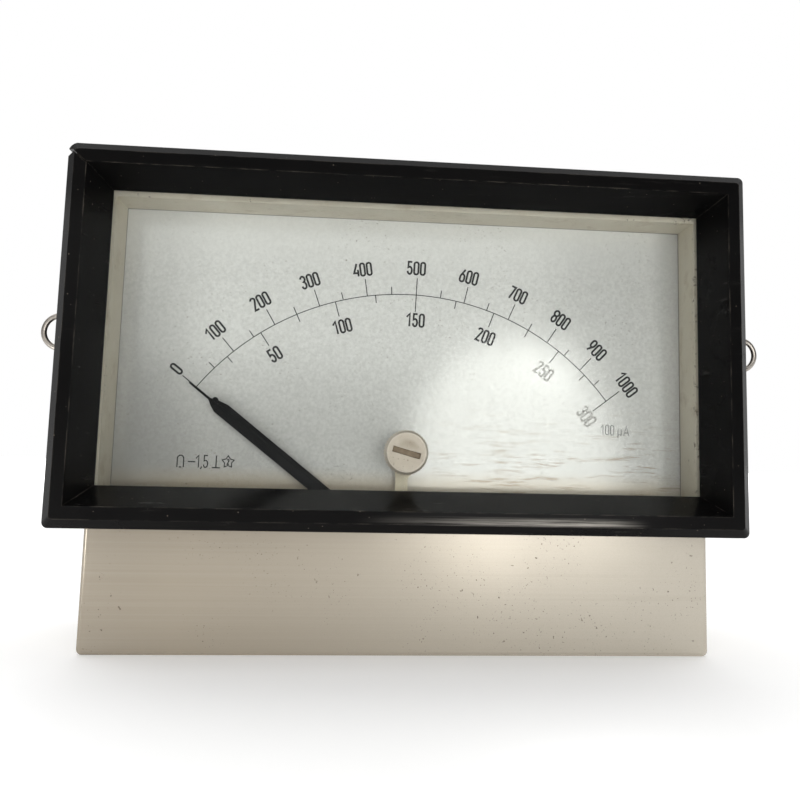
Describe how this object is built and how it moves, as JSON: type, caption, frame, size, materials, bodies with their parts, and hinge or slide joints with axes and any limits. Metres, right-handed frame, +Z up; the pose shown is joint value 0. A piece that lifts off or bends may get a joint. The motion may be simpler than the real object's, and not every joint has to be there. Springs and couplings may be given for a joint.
{
  "type": "panel galvanometer",
  "caption": "Wide panel galvanometer: black bezel, glass, silvery dial with arc scale, black pointer, zero adjuster, pale metal case, wire side eyes and rear terminals",
  "frame": {"origin": "centre of the bounding box in X and Y, at the underside of the case in Z", "axes": "+X to the right along the width, -Y out of the dial toward the viewer, +Y back to the terminals, +Z up"},
  "size_m": [0.2542, 0.115, 0.1755],
  "materials": {
    "bezel_black": "black moulded, semi-gloss, scuffed",
    "glass": "clear",
    "gasket": "matt",
    "case_metal": "pale beige-grey, brushed and pitted",
    "screw_steel": "zinc plated",
    "box_cream": "cream matt",
    "dial_white": "silvery white, printed scale",
    "chassis_alu": "plain sheet",
    "pillar_brass": "turned",
    "magnet_iron": "dark cast",
    "soft_iron": "turned",
    "copper": "enamelled copper wire",
    "pointer_black": "satin black",
    "lever_cream": "cream",
    "spring_bronze": "phosphor bronze",
    "knob_grey": "pale grey-beige moulding",
    "brass_old": "brown patina",
    "bakelite": "brown phenolic",
    "cover_grey": "grey hammer paint",
    "wire_insul": "sleeving",
    "nickel": "dull nickel plate"
  },
  "bodies": {
    "case": {"bezel": "bezel_black", "glass_pane": "glass", "glass_gasket": "gasket", "case_body": "case_metal", "bezel_screws": "screw_steel", "rear_cover": "cover_grey", "cover_screws": "screw_steel", "wire_eye_left": "nickel", "wire_eye_right": "nickel", "shadow_box": "box_cream", "dial_plate": "dial_white", "dial_pillars": "pillar_brass", "dial_screws": "screw_steel", "pointer_stops": "pillar_brass", "chassis_plate": "chassis_alu", "chassis_pillars": "pillar_brass", "pillar_screws": "screw_steel", "magnet": "magnet_iron", "pole_piece_left": "soft_iron", "pole_piece_right": "soft_iron", "core": "soft_iron", "core_support": "pillar_brass", "front_bridge": "chassis_alu", "bridge_screws": "screw_steel", "front_jewel_screw": "pillar_brass", "front_lock_nut": "pillar_brass", "rear_bridge": "chassis_alu", "rear_jewel_screw": "pillar_brass", "rear_lock_nut": "pillar_brass", "rear_hairspring": "spring_bronze", "resistor_bobbin": "bakelite", "resistor_winding": "copper", "lead_wires": "wire_insul", "terminal_studs": "brass_old", "terminal_bushes": "bakelite", "terminal_nuts": "brass_old", "terminal_washers": "brass_old"},
    "zero_knob": {"zero_knob_cap": "knob_grey", "knob_slot_insert": "brass_old", "knob_retainer": "knob_grey", "knob_eccentric_pin": "screw_steel"},
    "zero_lever": {"zero_lever": "lever_cream", "front_hairspring": "spring_bronze"},
    "pointer": {"coil_former": "chassis_alu", "coil_winding": "copper", "front_pivot": "screw_steel", "rear_pivot": "screw_steel", "pointer_hub": "pillar_brass", "balance_weights": "pillar_brass", "pointer_needle": "pointer_black"},
    "terminal_nut_left": {"thumb_nut_left": "nickel"},
    "terminal_nut_right": {"thumb_nut_right": "nickel"}
  },
  "joints": [
    {"name": "zero_adjuster", "type": "hinge", "parent": "case", "child": "zero_knob", "pos_m": [-0.0005, -0.0395, 0.0723], "axis": [0, 1, 0], "range_deg": [-45, 45]},
    {"name": "zero_lever_turn", "type": "hinge", "parent": "case", "child": "zero_lever", "pos_m": [-0.0005, -0.03, 0.0338], "axis": [0, 1, 0], "range_deg": [-1.85, 1.85]},
    {"name": "pointer_swing", "type": "hinge", "parent": "zero_lever", "child": "pointer", "pos_m": [-0.0005, -0.0075, 0.0338], "axis": [0, 1, 0], "range_deg": [-3, 107], "stiffness_Nm_per_rad": 0.0001},
    {"name": "nut_left_turn", "type": "hinge", "parent": "case", "child": "terminal_nut_left", "pos_m": [-0.035, 0.045, 0.06], "axis": [0, 1, 0], "continuous": true},
    {"name": "nut_right_turn", "type": "hinge", "parent": "case", "child": "terminal_nut_right", "pos_m": [0.035, 0.045, 0.06], "axis": [0, 1, 0], "continuous": true}
  ],
  "couplings": [
    {"joint": "zero_lever_turn", "follows": "zero_adjuster", "ratio": -0.0401}
  ]
}
